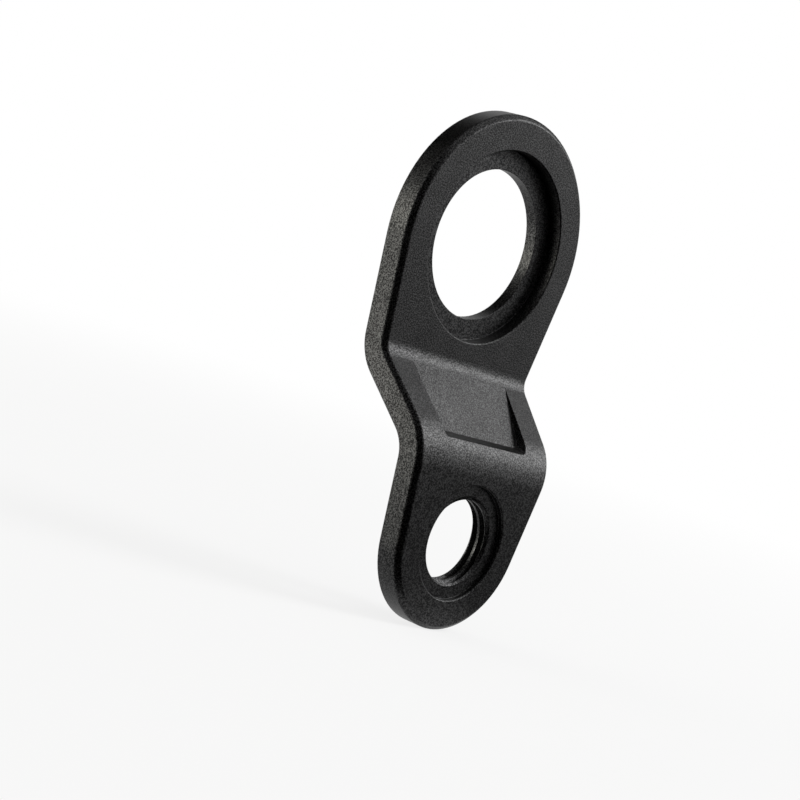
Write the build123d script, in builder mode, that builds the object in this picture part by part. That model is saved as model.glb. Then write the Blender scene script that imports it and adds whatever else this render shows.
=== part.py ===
from build123d import *
from math import cos, radians, sin
import os

# Derailleur hanger: one forged and machined aluminium plate, in millimetres.
# The origin is the centre of the hanger bolt's hole on the back face, which seats on the
# bicycle's frame. +X is to the right seen from the front, -Y is the front, +Z is up towards
# the large ring. The lower section stands in front of the upper one.

os.makedirs("parts", exist_ok=True)

# Outline of the plate seen from the front
top_radius = 14.1
bottom_radius = 9.55
hole_spacing = 30.3
thickness = 3.0

# The step between the two flat sections
step_depth = 7.9
web_angle = 48.4
step_start = 12.3
upper_bend_inside = 2.25
lower_bend_inside = 3.6

# Broken edges
front_chamfer = 0.5
back_chamfer = 0.15
rim_chamfer = 0.12

# Seat of the hanger bolt: the head lies in the wide recess, the shank goes through the hole
head_diameter = 20.3
head_clearance = 0.2
seat_thickness = 1.4
shank_diameter = 16.0
shank_clearance = 0.1

# Hole of the derailleur bolt, M10 x 1, under a shallow recess for the bolt's end
thread_core_diameter = 9.0
thread_lead_in = 0.3
bolt_end_diameter = 12.2
bolt_end_clearance = 0.1
bolt_end_depth = 0.6

# Lightening pocket in the web
pocket_margin = 4.15
pocket_floor_angle = 40.8
pocket_floor_length = 7.65
pocket_draft = 13.0
pocket_corner_radius = 0.9

# Sizes that follow from the ones above
head_recess_radius = head_diameter / 2 + head_clearance
shank_hole_radius = shank_diameter / 2 + shank_clearance
bolt_end_radius = bolt_end_diameter / 2 + bolt_end_clearance
thread_core_radius = thread_core_diameter / 2
upper_front = -thickness
lower_back = -step_depth
lower_front = lower_back - thickness
turn = radians(web_angle)
bend_radii = upper_bend_inside + lower_bend_inside + thickness
web_length = (step_depth - bend_radii * (1 - cos(turn))) / sin(turn)
stock_top = top_radius + thickness
stock_bottom = -hole_spacing - bottom_radius - thickness


def stepped_line(depth, upper_radius, lower_radius):
    """Draw one face of the bent plate seen from the side, from the top down."""
    top = Line((depth, stock_top), (depth, -step_start))
    upper = JernArc(top @ 1, top % 1, upper_radius, -web_angle)
    web = Line(upper @ 1, upper @ 1 + (upper % 1) * web_length)
    lower = JernArc(web @ 1, web % 1, lower_radius, web_angle)
    Line(lower @ 1, ((lower @ 1).X, stock_bottom))


def teardrop(inset):
    """Draw the hull of the two rings, drawn in by the inset."""
    Circle(top_radius - inset)
    with Locations((0, -hole_spacing)):
        Circle(bottom_radius - inset)
    make_hull()


# The pocket as the cutter takes it out: its floor leaves the upper bend at a tangent and
# digs deeper towards the lower bend, where a drafted wall ends it
slope = radians(pocket_floor_angle)
draft = radians(pocket_draft)
floor_top = Vector(
    upper_front - upper_bend_inside * (1 - cos(slope)),
    -step_start - upper_bend_inside * sin(slope),
)
floor_foot = floor_top + Vector(-sin(slope), -cos(slope)) * pocket_floor_length
wall_end = floor_foot + Vector(-cos(draft), -sin(draft)) * (step_depth + thickness)

with BuildPart() as pocket:
    with BuildSketch(Plane.YZ):
        Polygon(
            (floor_top.X, floor_top.Y),
            (floor_foot.X, floor_foot.Y),
            (wall_end.X, wall_end.Y),
            (wall_end.X, floor_top.Y),
            align=None,
        )
    extrude(amount=top_radius, both=True)
    with BuildSketch(Plane.XZ):
        teardrop(pocket_margin)
    extrude(amount=4 * (step_depth + thickness), both=True, mode=Mode.INTERSECT)
    foot_wall = pocket.faces().filter_by(lambda f: f.normal_at(f.center()).Z < -0.5).sort_by(Axis.Z)[0]
    fillet(foot_wall.edges().filter_by(Axis.X, reverse=True), pocket_corner_radius)

# The bent plate, cut to its outline
with BuildPart() as hanger_plate:
    with BuildSketch(Plane.YZ):
        with BuildLine():
            stepped_line(upper_front, upper_bend_inside, lower_bend_inside + thickness)
            stepped_line(0, upper_bend_inside + thickness, lower_bend_inside)
            Line((upper_front, stock_top), (0, stock_top))
            Line((lower_front, stock_bottom), (lower_back, stock_bottom))
        make_face()
    extrude(amount=top_radius + thickness, both=True)
    with BuildSketch(Plane.XZ):
        teardrop(0)
    extrude(amount=2 * (step_depth + thickness), both=True, mode=Mode.INTERSECT)

    # A crisp chamfer round the front, and a touch off the back
    front_faces = hanger_plate.faces().filter_by(lambda f: f.normal_at(f.center()).Y < -0.3)
    chamfer(front_faces.edges().filter_by(Axis.X, reverse=True), front_chamfer)
    back_faces = hanger_plate.faces().filter_by(lambda f: f.normal_at(f.center()).Y > 0.5)
    chamfer(back_faces.edges().filter_by(Axis.X, reverse=True), back_chamfer)

    add(pocket.part, mode=Mode.SUBTRACT)

    # Hole and head recess of the hanger bolt
    with BuildSketch(Plane.XZ):
        Circle(shank_hole_radius)
    extrude(amount=thickness, mode=Mode.SUBTRACT)
    with BuildSketch(Plane.XZ.offset(seat_thickness)):
        Circle(head_recess_radius)
    extrude(amount=thickness, mode=Mode.SUBTRACT)
    head_rim = hanger_plate.edges().filter_by(GeomType.CIRCLE).filter_by(
        lambda e: abs(e.radius - head_recess_radius) < 0.001
    )
    chamfer(head_rim.sort_by(Axis.Y)[0], rim_chamfer)

    # Hole and end recess of the derailleur bolt
    with BuildSketch(Plane.XZ.offset(step_depth)):
        with Locations((0, -hole_spacing)):
            Circle(thread_core_radius)
    extrude(amount=thickness, mode=Mode.SUBTRACT)
    with BuildSketch(Plane.XZ.offset(step_depth + thickness - bolt_end_depth)):
        with Locations((0, -hole_spacing)):
            Circle(bolt_end_radius)
    extrude(amount=thickness, mode=Mode.SUBTRACT)
    round_edges = hanger_plate.edges().filter_by(GeomType.CIRCLE)
    thread_ends = round_edges.filter_by(lambda e: abs(e.radius - thread_core_radius) < 0.001)
    chamfer(thread_ends, thread_lead_in)
    end_rim = hanger_plate.edges().filter_by(GeomType.CIRCLE).filter_by(
        lambda e: abs(e.radius - bolt_end_radius) < 0.001
    )
    chamfer(end_rim.sort_by(Axis.Y)[0], rim_chamfer)

hanger_plate.part.label = "hanger_plate"
export_step(hanger_plate.part, "parts/hanger_plate.step")
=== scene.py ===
"""Derailleur hanger in a plain studio.

The CAD's plate gets rounded edges, a cut thread and a bead blasted black finish.
"""

import logging
import math
from dataclasses import dataclass, field
from enum import Enum

import bmesh
import bpy
from mathutils import Matrix, Vector


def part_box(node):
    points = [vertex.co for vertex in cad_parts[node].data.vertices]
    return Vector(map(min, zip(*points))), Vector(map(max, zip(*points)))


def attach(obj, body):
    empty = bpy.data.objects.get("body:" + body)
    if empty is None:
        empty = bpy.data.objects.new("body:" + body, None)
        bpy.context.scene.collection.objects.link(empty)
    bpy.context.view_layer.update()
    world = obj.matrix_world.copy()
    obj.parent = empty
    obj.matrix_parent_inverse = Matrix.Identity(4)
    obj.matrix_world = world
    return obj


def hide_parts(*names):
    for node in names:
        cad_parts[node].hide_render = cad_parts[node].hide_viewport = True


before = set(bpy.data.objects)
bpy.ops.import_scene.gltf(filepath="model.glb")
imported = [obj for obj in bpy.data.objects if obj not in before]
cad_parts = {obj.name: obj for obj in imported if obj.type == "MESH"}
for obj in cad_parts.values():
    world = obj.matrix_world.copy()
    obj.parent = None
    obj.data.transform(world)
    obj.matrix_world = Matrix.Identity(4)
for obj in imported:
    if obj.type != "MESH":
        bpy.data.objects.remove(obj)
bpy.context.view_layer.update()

Span = tuple[float, float]
Triple = tuple[float, float, float]
Socket = bpy.types.NodeSocket

MM = 0.001
UNIT: Span = (0.0, 1.0)
WHITE: Triple = (1.0, 1.0, 1.0)
PLATE_NODE = "hanger_plate"
# The Mix node's colour sockets go by number, because other sockets share their names
MIX_FACTOR, MIX_FIRST, MIX_SECOND, MIX_RESULT = 0, 6, 7, 2
# The cards that lie flat are just above the floor
CARD_LEVEL = -39.88 * MM
log = logging.getLogger("derailleur_hanger")


class Hand(Enum):
    """Which way a thread winds."""

    RIGHT = "right"
    LEFT = "left"


class Ramp(Enum):
    """How a value goes from one end of a range to the other."""

    STRAIGHT = "LINEAR"
    SMOOTH = "SMOOTHSTEP"


class Edge(Enum):
    """How far an edge of the plate is rounded, as a share of the widest rounding."""

    PLAIN = 0.0
    CRISP = 0.35
    EASED = 1.0


class Sheet:
    """A node tree, with short calls that add and join its nodes."""

    def __init__(self, tree: bpy.types.NodeTree) -> None:
        """Empties the tree of a material, a world or a Geometry Nodes modifier."""
        self.tree = tree
        tree.nodes.clear()

    def add(
        self, kind: str, values: dict[int | str, object] | None = None, **settings: object
    ) -> bpy.types.Node:
        """Adds one node.

        Args:
            kind: The node's type.
            values: Values of its unlinked inputs, by name or number.
            settings: The node's own options.

        Returns:
            The new node.
        """
        node = self.tree.nodes.new(kind)
        for name, value in settings.items():
            setattr(node, name, value)
        for key, value in (values or {}).items():
            node.inputs[key].default_value = value
        return node

    def join(self, start: Socket, end: Socket) -> None:
        """Links an output to an input."""
        self.tree.links.new(start, end)

    def math(self, operation: str, *terms: Socket | float) -> Socket:
        """Adds a math node.

        Args:
            operation: The node's operation.
            terms: Sockets to link or numbers to set, in the order of the node's inputs.

        Returns:
            The node's output.
        """
        node = self.add("ShaderNodeMath", operation=operation)
        for place, term in enumerate(terms):
            if isinstance(term, Socket):
                self.join(term, node.inputs[place])
            else:
                node.inputs[place].default_value = term
        return node.outputs[0]

    def noise(self, size: float, detail: float, roughness: float) -> Socket:
        """Adds noise on Object coordinates.

        Args:
            size: The size of its grain, in metres.
            detail: How many finer layers it has.
            roughness: How strong the finer layers are.

        Returns:
            The noise, from 0 to 1.
        """
        values = {"Scale": 1.0 / size, "Detail": detail, "Roughness": roughness}
        node = self.add("ShaderNodeTexNoise", values)
        self.join(self.add("ShaderNodeTexCoord").outputs["Object"], node.inputs["Vector"])
        return node.outputs["Fac"]

    def remap(
        self, value: Socket, source: Span, target: Span, ramp: Ramp = Ramp.STRAIGHT
    ) -> Socket:
        """Maps a value from one range to another, and keeps it inside that.

        Args:
            value: The value.
            source: The range it comes from.
            target: The range it goes to.
            ramp: How it goes from end to end.

        Returns:
            The new value.
        """
        ends = {
            "From Min": source[0], "From Max": source[1], "To Min": target[0], "To Max": target[1]
        }
        node = self.add("ShaderNodeMapRange", ends, interpolation_type=ramp.value)
        self.join(value, node.inputs["Value"])
        return node.outputs["Result"]

    def mix(self, share: Socket, first: Triple, second: Triple) -> Socket:
        """Mixes two colours.

        Args:
            share: The second colour's share.
            first: The first colour.
            second: The second colour.

        Returns:
            The mixed colour.
        """
        ends = {MIX_FIRST: (*first, 1.0), MIX_SECOND: (*second, 1.0)}
        node = self.add("ShaderNodeMix", ends, data_type="RGBA")
        self.join(share, node.inputs[MIX_FACTOR])
        return node.outputs[MIX_RESULT]

    def seen(self) -> Socket:
        """Tells the rays that show a thing from those that carry its light to others.

        Returns:
            1 for camera, glossy and transmission rays, and otherwise 0.
        """
        rays = self.add("ShaderNodeLightPath").outputs
        shown = self.math("MAXIMUM", rays["Is Camera Ray"], rays["Is Glossy Ray"])
        return self.math("MAXIMUM", shown, rays["Is Transmission Ray"])

    def end(self, kind: str, shader: Socket) -> None:
        """Adds a shader tree's output node of that kind, and feeds it the shader."""
        self.join(shader, self.add(kind).inputs["Surface"])


def node_material(name: str) -> tuple[bpy.types.Material, Sheet]:
    """Makes a material with an empty node tree.

    Args:
        name: The material's name.

    Returns:
        The material and its tree.
    """
    made = bpy.data.materials.new(name)
    made.use_nodes = True
    return made, Sheet(made.node_tree)


def placed(name: str, data: bpy.types.ID) -> bpy.types.Object:
    """Makes an object and links it to the scene.

    Args:
        name: The object's name.
        data: Its mesh, light or camera.

    Returns:
        The object.
    """
    made = bpy.data.objects.new(name, data)
    bpy.context.scene.collection.objects.link(made)
    return made


def meshed(
    name: str, work: bmesh.types.BMesh, material: bpy.types.Material
) -> bpy.types.Object:
    """Makes an object of a mesh at work, and frees that.

    Args:
        name: The name of the object and its mesh.
        work: The mesh at work.
        material: The object's material.

    Returns:
        The object.
    """
    mesh = bpy.data.meshes.new(name)
    work.to_mesh(mesh)
    work.free()
    mesh.materials.append(material)
    return placed(name, mesh)


@dataclass(frozen=True)
class BlastedAnodise:
    """Black anodised aluminium that was bead blasted before it was dyed."""

    name: str = "blasted_black_anodise"
    dark: Triple = (0.008, 0.008, 0.0082)
    light: Triple = (0.076, 0.076, 0.0765)
    roughness: Span = (0.41, 0.45)
    grain_size: float = 0.15 * MM
    cloud_size: float = 2.6 * MM
    speck_range: Span = (0.40, 0.64)
    speck_share: float = 0.8
    cloud_share: float = 0.35
    dent_depth: float = 0.03 * MM
    dent_strength: float = 0.25

    def material(self) -> bpy.types.Material:
        """Builds the finish.

        Returns:
            The material, which reads Object coordinates.
        """
        made, sheet = node_material(self.name)
        grain = sheet.noise(self.grain_size, detail=2.0, roughness=0.55)
        clouds = sheet.noise(self.cloud_size, detail=4.0, roughness=0.6)
        specks = sheet.remap(grain, self.speck_range, UNIT, Ramp.SMOOTH)
        drift = sheet.math("MULTIPLY_ADD", clouds, self.cloud_share, -self.cloud_share / 2)
        tone = sheet.math("ADD", sheet.math("MULTIPLY", specks, self.speck_share), drift)
        tone = sheet.math("MINIMUM", sheet.math("MAXIMUM", tone, 0.0), 1.0)
        depth = {"Strength": self.dent_strength, "Distance": self.dent_depth}
        dents = sheet.add("ShaderNodeBump", depth)
        sheet.join(grain, dents.inputs["Height"])
        shader = sheet.add("ShaderNodeBsdfPrincipled", {"Metallic": 1.0})
        sheet.join(sheet.mix(tone, self.dark, self.light), shader.inputs["Base Color"])
        sheet.join(sheet.remap(tone, UNIT, self.roughness), shader.inputs["Roughness"])
        sheet.join(dents.outputs["Normal"], shader.inputs["Normal"])
        sheet.end("ShaderNodeOutputMaterial", shader.outputs[0])
        return made


@dataclass(frozen=True)
class PaleFloor:
    """A matt pale floor that fades to the white of the backdrop away from the object."""

    name: str = "pale_floor"
    colour: Triple = (0.80, 0.80, 0.80)
    mottle_size: float = 1.0 / 30.0
    mottle_shade: float = 0.985
    white_near: float = 0.80
    fade: Span = (0.05, 0.40)

    def material(self) -> bpy.types.Material:
        """Builds the finish.

        Returns:
            The floor's material.
        """
        made, sheet = node_material(self.name)
        mottle = sheet.noise(self.mottle_size, detail=3.0, roughness=0.5)
        shaded = tuple(part * self.mottle_shade for part in self.colour)
        paint = sheet.add("ShaderNodeBsdfDiffuse")
        sheet.join(sheet.mix(mottle, self.colour, shaded), paint.inputs["Color"])
        # The distance from the object, along the floor
        flat = sheet.add("ShaderNodeVectorMath", {1: (1.0, 1.0, 0.0)}, operation="MULTIPLY")
        away = sheet.add("ShaderNodeVectorMath", operation="LENGTH")
        sheet.join(sheet.add("ShaderNodeTexCoord").outputs["Object"], flat.inputs[0])
        sheet.join(flat.outputs[0], away.inputs[0])
        near = (self.white_near, 1.0)
        fade = sheet.remap(away.outputs["Value"], self.fade, near, Ramp.SMOOTH)
        white = sheet.add("ShaderNodeEmission", {"Color": (*WHITE, 1.0), "Strength": 1.0})
        blend = sheet.add("ShaderNodeMixShader")
        sheet.join(sheet.math("MULTIPLY", fade, sheet.seen()), blend.inputs[0])
        sheet.join(paint.outputs[0], blend.inputs[1])
        sheet.join(white.outputs[0], blend.inputs[2])
        sheet.end("ShaderNodeOutputMaterial", blend.outputs[0])
        return made


@dataclass(frozen=True)
class BoltThread:
    """The lower hole's thread, M10 x 1, cut by one Geometry Nodes tree.

    The cutter's widths are shares of the pitch, and its height is a share of the depth.
    """

    core_radius: float = 4.5 * MM
    outer_radius: float = 5.0 * MM
    pitch: float = 1.0 * MM
    run: Span = (-11.6 * MM, -7.0 * MM)
    height: float = -30.3 * MM
    steps: int = 72
    hand: Hand = Hand.RIGHT
    mouth_width: float = 0.86
    crest_width: float = 0.125
    cutter_height: float = 1.28

    def tree(self) -> bpy.types.GeometryNodeTree:
        """Builds the tree that sweeps the cutter along a helix and cuts it out of the plate.

        Returns:
            The tree, whose inputs are the plate, the thread's sizes and the plate's material.
        """
        tree = bpy.data.node_groups.new("cut_bolt_thread", "GeometryNodeTree")
        sockets = (
            ("Plate", "NodeSocketGeometry"),
            ("Core Radius", "NodeSocketFloat"),
            ("Outer Radius", "NodeSocketFloat"),
            ("Pitch", "NodeSocketFloat"),
            ("Length", "NodeSocketFloat"),
            ("Steps", "NodeSocketInt"),
            ("Left Handed", "NodeSocketBool"),
            ("Start", "NodeSocketVector"),
            ("Finish", "NodeSocketMaterial"),
        )
        for name, kind in sockets:
            tree.interface.new_socket(name=name, in_out="INPUT", socket_type=kind)
        tree.interface.new_socket(name="Plate", in_out="OUTPUT", socket_type="NodeSocketGeometry")
        sheet = Sheet(tree)
        given = sheet.add("NodeGroupInput").outputs
        # The helix runs at the core radius
        helix = sheet.add("GeometryNodeCurveSpiral")
        turns = sheet.math("DIVIDE", given["Length"], given["Pitch"])
        sheet.join(given["Steps"], helix.inputs["Resolution"])
        sheet.join(turns, helix.inputs["Rotations"])
        sheet.join(given["Core Radius"], helix.inputs["Start Radius"])
        sheet.join(given["Core Radius"], helix.inputs["End Radius"])
        sheet.join(given["Length"], helix.inputs["Height"])
        sheet.join(given["Left Handed"], helix.inputs["Reverse"])
        upright = sheet.add("GeometryNodeSetCurveNormal", mode="Z_UP")
        sheet.join(helix.outputs["Curve"], upright.inputs["Curve"])
        # The cutter's section is a trapezoid that starts inside the bore, with 60 degree flanks
        section = sheet.add(
            "GeometryNodeCurvePrimitiveQuadrilateral", {"Offset": 0.0}, mode="TRAPEZOID"
        )
        mouth = sheet.math("MULTIPLY", given["Pitch"], self.mouth_width)
        crest = sheet.math("MULTIPLY", given["Pitch"], self.crest_width)
        depth = sheet.math("SUBTRACT", given["Outer Radius"], given["Core Radius"])
        tall = sheet.math("MULTIPLY", depth, self.cutter_height)
        sheet.join(mouth, section.inputs["Bottom Width"])
        sheet.join(crest, section.inputs["Top Width"])
        sheet.join(tall, section.inputs["Height"])
        shift = sheet.add("ShaderNodeCombineXYZ")
        outwards = sheet.math("SUBTRACT", depth, sheet.math("MULTIPLY", tall, 0.5))
        sheet.join(outwards, shift.inputs["Y"])
        shifted = sheet.add("GeometryNodeTransform")
        sheet.join(section.outputs["Curve"], shifted.inputs["Geometry"])
        sheet.join(shift.outputs[0], shifted.inputs["Translation"])
        across = (0.0, 0.0, math.radians(90.0))
        turned = sheet.add("GeometryNodeTransform", {"Rotation": across})
        sheet.join(shifted.outputs[0], turned.inputs["Geometry"])
        cutter = sheet.add("GeometryNodeCurveToMesh", {"Fill Caps": True})
        sheet.join(upright.outputs[0], cutter.inputs["Curve"])
        sheet.join(turned.outputs[0], cutter.inputs["Profile Curve"])
        # The hole's axis lies along Y
        along_hole = (math.radians(-90.0), 0.0, 0.0)
        in_hole = sheet.add("GeometryNodeTransform", {"Rotation": along_hole})
        sheet.join(cutter.outputs[0], in_hole.inputs["Geometry"])
        sheet.join(given["Start"], in_hole.inputs["Translation"])
        cut = sheet.add("GeometryNodeMeshBoolean", operation="DIFFERENCE", solver="EXACT")
        sheet.join(given["Plate"], cut.inputs["Mesh 1"])
        sheet.join(in_hole.outputs[0], cut.inputs["Mesh 2"])
        real = sheet.add("GeometryNodeRealizeInstances")
        sheet.join(cut.outputs["Mesh"], real.inputs[0])
        dress = sheet.add("GeometryNodeSetMaterial")
        sheet.join(real.outputs[0], dress.inputs["Geometry"])
        sheet.join(given["Finish"], dress.inputs["Material"])
        out = sheet.add("NodeGroupOutput")
        sheet.join(dress.outputs[0], out.inputs[0])
        return tree

    def cut(self, plate: bpy.types.Object, finish: bpy.types.Material) -> None:
        """Adds the tree to the plate as a modifier, with this thread's sizes.

        Args:
            plate: The plate, whose hole is still plain.
            finish: The plate's material.
        """
        tree = self.tree()
        modifier = plate.modifiers.new("thread", "NODES")
        modifier.node_group = tree
        values = {
            "Core Radius": self.core_radius,
            "Outer Radius": self.outer_radius,
            "Pitch": self.pitch,
            "Length": self.run[1] - self.run[0],
            "Steps": self.steps,
            "Left Handed": self.hand is Hand.LEFT,
            "Start": (0.0, self.run[0], self.height),
            "Finish": finish,
        }
        for item in tree.interface.items_tree:
            if item.in_out == "INPUT" and item.name in values:
                modifier[item.identifier] = values[item.name]


@dataclass(frozen=True)
class HangerPlate:
    """The one-piece plate: the solid's own shape with rounded edges and a real thread."""

    name: str = "hanger_plate_finished"
    top_radius: float = 14.1 * MM
    bottom_radius: float = 9.55 * MM
    hole_spacing: float = 30.3 * MM
    rim_width: float = 0.7 * MM
    edge_round: float = 0.14 * MM
    round_segments: int = 4
    weld_distance: float = 0.0005 * MM
    flat_below: float = math.radians(0.2)
    sharp_from: float = math.radians(18.0)
    shaded_sharp_from: float = math.radians(35.0)
    front_facing: float = -0.4
    face_weight: int = 60
    thread: BoltThread = field(default_factory=BoltThread)
    finish: BlastedAnodise = field(default_factory=BlastedAnodise)

    def inset(self, x: float, z: float) -> float:
        """Measures how far a point lies inside the plate's outline, seen from the front.

        Args:
            x: The point's place across, in metres.
            z: Its height, in metres.

        Returns:
            The distance to the outline, in metres.
        """
        lean = (self.top_radius - self.bottom_radius) / self.hole_spacing
        side = math.sqrt(1.0 - lean * lean)
        along = -z * side - abs(x) * lean
        if along < 0.0:
            return self.top_radius - math.hypot(x, z)
        if along > self.hole_spacing * side:
            return self.bottom_radius - math.hypot(x, z + self.hole_spacing)
        return self.top_radius - (abs(x) * side - z * lean)

    def edge_kind(self, edge: bmesh.types.BMEdge) -> Edge:
        """Says how an edge of the merged solid is rounded.

        Args:
            edge: The edge.

        Returns:
            Its kind, EASED for the front's edges near the outline.
        """
        if len(edge.link_faces) != 2 or edge.calc_face_angle(0.0) < self.sharp_from:
            return Edge.PLAIN
        middle = (edge.verts[0].co + edge.verts[1].co) / 2
        at_rim = self.inset(middle.x, middle.z) < self.rim_width
        foremost = min(face.normal.y for face in edge.link_faces)
        return Edge.EASED if at_rim and foremost < self.front_facing else Edge.CRISP

    def merged(self, node: bpy.types.Object) -> bpy.types.Object:
        """Copies the solid's mesh, joins its loose triangles and marks its edges.

        Args:
            node: The solid's object, which stays as it is.

        Returns:
            A new object with a closed mesh.
        """
        mesh = node.data.copy()
        mesh.name = self.name
        work = bmesh.new()
        work.from_mesh(mesh)
        bmesh.ops.remove_doubles(work, verts=work.verts, dist=self.weld_distance)
        bmesh.ops.dissolve_limit(
            work,
            angle_limit=self.flat_below,
            verts=work.verts,
            edges=work.edges,
            use_dissolve_boundaries=False,
        )
        weight = work.edges.layers.float.new("bevel_weight_edge")
        for edge in work.edges:
            edge[weight] = self.edge_kind(edge).value
        work.to_mesh(mesh)
        work.free()
        if "custom_normal" in mesh.attributes:
            mesh.attributes.remove(mesh.attributes["custom_normal"])
        return placed(self.name, mesh)

    def applied(self, plate: bpy.types.Object) -> None:
        """Turns the plate's modifiers into its own mesh.

        Args:
            plate: The object to change.
        """
        graph = bpy.context.evaluated_depsgraph_get()
        mesh = bpy.data.meshes.new_from_object(plate.evaluated_get(graph))
        plate.modifiers.clear()
        plate.data = mesh
        mesh.name = self.name

    def build(self, node: bpy.types.Object) -> bpy.types.Object:
        """Builds the finished plate over the solid.

        Args:
            node: The solid's object.

        Returns:
            The dressed plate.
        """
        plate = self.merged(node)
        material = self.finish.material()
        rounding = plate.modifiers.new("edges", "BEVEL")
        rounding.width = self.edge_round
        rounding.segments = self.round_segments
        rounding.limit_method = "WEIGHT"
        rounding.use_clamp_overlap = False
        self.applied(plate)
        self.thread.cut(plate, material)
        self.applied(plate)
        mesh = plate.data
        mesh.materials.clear()
        mesh.materials.append(material)
        mesh.set_sharp_from_angle(angle=self.shaded_sharp_from)
        shading = plate.modifiers.new("faces", "WEIGHTED_NORMAL")
        shading.keep_sharp = True
        shading.weight = self.face_weight
        self.applied(plate)
        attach(plate, "root")
        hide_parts(PLATE_NODE)
        return plate


@dataclass(frozen=True)
class SoftBox:
    """An area lamp that faces the object's middle and that the camera doesn't see."""

    name: str
    toward: Triple
    distance: float
    width: float
    height: float
    brightness: float
    colour: Triple = WHITE
    spares_floor: bool = False

    def build(self, target: Vector, plate: bpy.types.Object) -> bpy.types.Object:
        """Hangs the lamp.

        Args:
            target: The point it faces, in metres.
            plate: The one thing it lights, where it spares the floor.

        Returns:
            The lamp's object.
        """
        data = bpy.data.lights.new(self.name, "AREA")
        data.shape = "RECTANGLE"
        data.size = self.width
        data.size_y = self.height
        data.energy = self.brightness * math.pi * self.width * self.height
        data.color = self.colour
        lamp = placed(self.name, data)
        lamp.location = target + Vector(self.toward).normalized() * self.distance
        lamp.rotation_euler = (target - lamp.location).to_track_quat("-Z", "Y").to_euler()
        lamp.visible_camera = False
        if self.spares_floor:
            lit = bpy.data.collections.new(self.name)
            lit.objects.link(plate)
            lamp.light_linking.receiver_collection = lit
        return lamp


@dataclass(frozen=True)
class Flag:
    """A black card that darkens reflections on its side and that the camera doesn't see."""

    name: str
    toward: Triple
    distance: float
    size: float
    lies_at: float | None = None
    cloth: Triple = (0.004, 0.004, 0.004)

    def build(self, target: Vector) -> bpy.types.Object:
        """Hangs the card, or lays it flat at its height where it has one.

        Args:
            target: The point it faces, in metres.

        Returns:
            The card's object.
        """
        work = bmesh.new()
        bmesh.ops.create_grid(work, x_segments=1, y_segments=1, size=self.size / 2)
        place = target + Vector(self.toward).normalized() * self.distance
        turn = (target - place).to_track_quat("Z", "Y").to_matrix().to_4x4()
        if self.lies_at is not None:
            place.z = self.lies_at
            turn = Matrix.Rotation(math.atan2(self.toward[1], self.toward[0]), 4, "Z")
        bmesh.ops.transform(work, matrix=Matrix.Translation(place) @ turn, verts=work.verts)
        made, sheet = node_material(self.name)
        cloth = sheet.add("ShaderNodeBsdfDiffuse", {"Color": (*self.cloth, 1.0)})
        sheet.end("ShaderNodeOutputMaterial", cloth.outputs[0])
        card = meshed(self.name, work, made)
        card.visible_camera = False
        card.visible_diffuse = False
        card.visible_shadow = False
        return card


@dataclass(frozen=True)
class FittedCamera:
    """The photograph's camera, which was fitted to the plate's holes and outline."""

    place: Triple = (-168.77 * MM, -142.05 * MM, -7.86 * MM)
    azimuth: float = math.radians(-49.27)
    elevation: float = math.radians(2.75)
    roll: float = math.radians(18.01)
    focal_pixels: float = 2070.0
    frame_pixels: float = 800.0
    sensor: float = 36.0
    clip: Span = (0.005, 100.0)

    def build(self) -> bpy.types.Object:
        """Sets the camera up and makes it the scene's.

        Returns:
            The camera's object.
        """
        away = Vector(
            (
                math.sin(self.azimuth) * math.cos(self.elevation),
                -math.cos(self.azimuth) * math.cos(self.elevation),
                math.sin(self.elevation),
            )
        )
        level = Vector((0.0, 0.0, 1.0)).cross(away).normalized()
        rise = away.cross(level)
        right = level * math.cos(self.roll) + rise * math.sin(self.roll)
        up = away.cross(right)
        data = bpy.data.cameras.new("camera")
        data.sensor_width = self.sensor
        data.lens = self.focal_pixels / self.frame_pixels * self.sensor
        data.clip_start, data.clip_end = self.clip
        camera = placed("camera", data)
        turn = Matrix((right, up, away)).transposed().to_4x4()
        camera.matrix_world = Matrix.Translation(self.place) @ turn
        bpy.context.scene.camera = camera
        return camera


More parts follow.
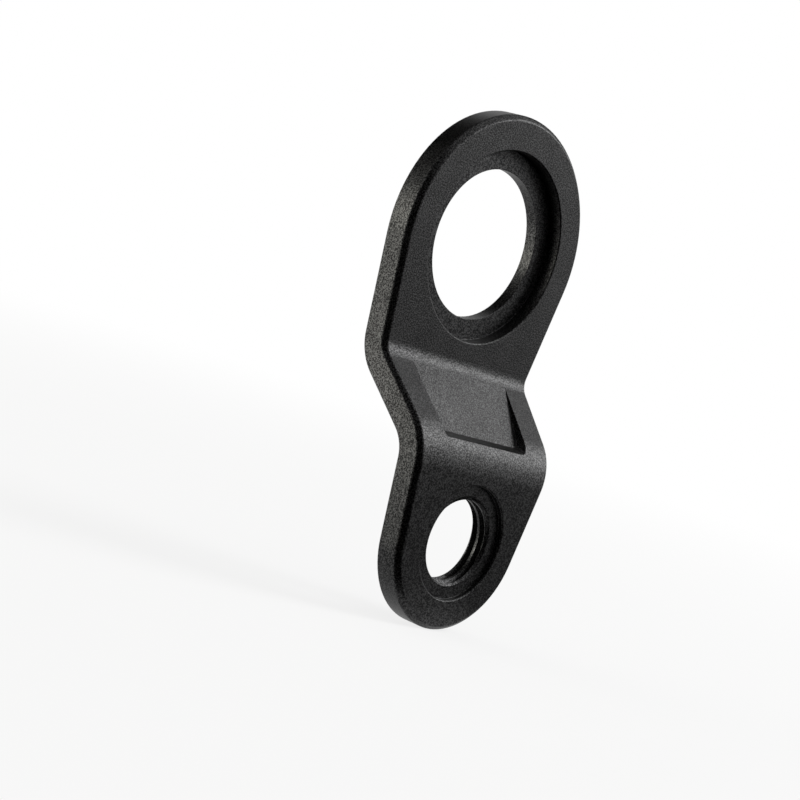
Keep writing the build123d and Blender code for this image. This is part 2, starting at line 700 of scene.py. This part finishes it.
@dataclass(frozen=True)
class Studio:
    """The floor, the lamps, the cards and the surrounding white."""

    floor_gap: float = 0.05 * MM
    floor_radius: float = 12.0
    floor_sides: int = 96
    ambient: float = 0.5
    floor: PaleFloor = field(default_factory=PaleFloor)
    lamps: tuple[SoftBox, ...] = (
        SoftBox("key_right_above", (0.70, -0.46, 0.545), 0.50, 0.24, 0.24, 8.3),
        SoftBox("fill_left_back", (-0.74, 0.67, 0.07), 0.40, 0.34, 0.10, 8.4, (1.0, 0.98, 0.86)),
        SoftBox(
            "fill_left_low", (-0.70, 0.645, -0.31), 0.060, 0.05, 0.016, 3.3, (1.0, 0.985, 0.90),
            spares_floor=True,
        ),
    )
    flags: tuple[Flag, ...] = (
        Flag("flag_camera_side", (-0.68, -0.73, 0.1), 0.28, 0.46),
        Flag("flag_before_camera", (-0.50, -0.866, 0.0), 0.180, 0.34, CARD_LEVEL),
        Flag("flag_right_front", (0.757, -0.652, 0.0), 0.167, 0.30, CARD_LEVEL),
        Flag("flag_above_back", (-0.12, 0.62, 0.78), 0.45, 0.56),
        Flag("flag_right_back", (0.74, 0.36, 0.56), 0.45, 0.24),
        Flag("flag_left_above", (-0.60, -0.22, 0.77), 0.36, 0.26),
    )

    def lay_floor(self, lowest: float) -> bpy.types.Object:
        """Lays the floor under the object.

        Args:
            lowest: The height of the object's lowest point, in metres.

        Returns:
            The floor's object.
        """
        work = bmesh.new()
        bmesh.ops.create_circle(
            work, cap_ends=True, radius=self.floor_radius, segments=self.floor_sides
        )
        bmesh.ops.translate(work, vec=(0.0, 0.0, lowest - self.floor_gap), verts=work.verts)
        floor = meshed("floor", work, self.floor.material())
        return floor

    def surround(self) -> bpy.types.World:
        """Builds the surrounding light.

        Returns:
            The world, white where it is seen and dimmer where it lights.
        """
        world = bpy.data.worlds.new("surround")
        world.use_nodes = True
        sheet = Sheet(world.node_tree)
        back = sheet.add("ShaderNodeBackground", {"Color": (*WHITE, 1.0)})
        level = sheet.remap(sheet.seen(), UNIT, (self.ambient, 1.0))
        sheet.join(level, back.inputs["Strength"])
        sheet.end("ShaderNodeOutputWorld", back.outputs[0])
        bpy.context.scene.world = world
        return world

    def build(self, low: Vector, high: Vector, plate: bpy.types.Object) -> None:
        """Sets the whole studio up round the object.

        Args:
            low: The object's lowest corner.
            high: The object's highest corner.
            plate: The dressed plate.
        """
        middle = (low + high) / 2
        self.lay_floor(low.z)
        self.surround()
        for lamp in self.lamps:
            lamp.build(middle, plate)
        for flag in self.flags:
            flag.build(middle)
        bpy.context.scene.view_settings.view_transform = "Standard"


def main() -> None:
    """Builds the plate, the studio and the camera."""
    logging.basicConfig(level=logging.INFO, format="%(name)s: %(message)s")
    low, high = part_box(PLATE_NODE)
    plate = HangerPlate().build(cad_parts[PLATE_NODE])
    log.info("%s: %d faces", plate.name, len(plate.data.polygons))
    Studio().build(low, high, plate)
    log.info("studio ready")
    camera = FittedCamera().build()
    log.info("%s: lens %.2f mm", camera.name, camera.data.lens)


if __name__ == "__main__":
    main()
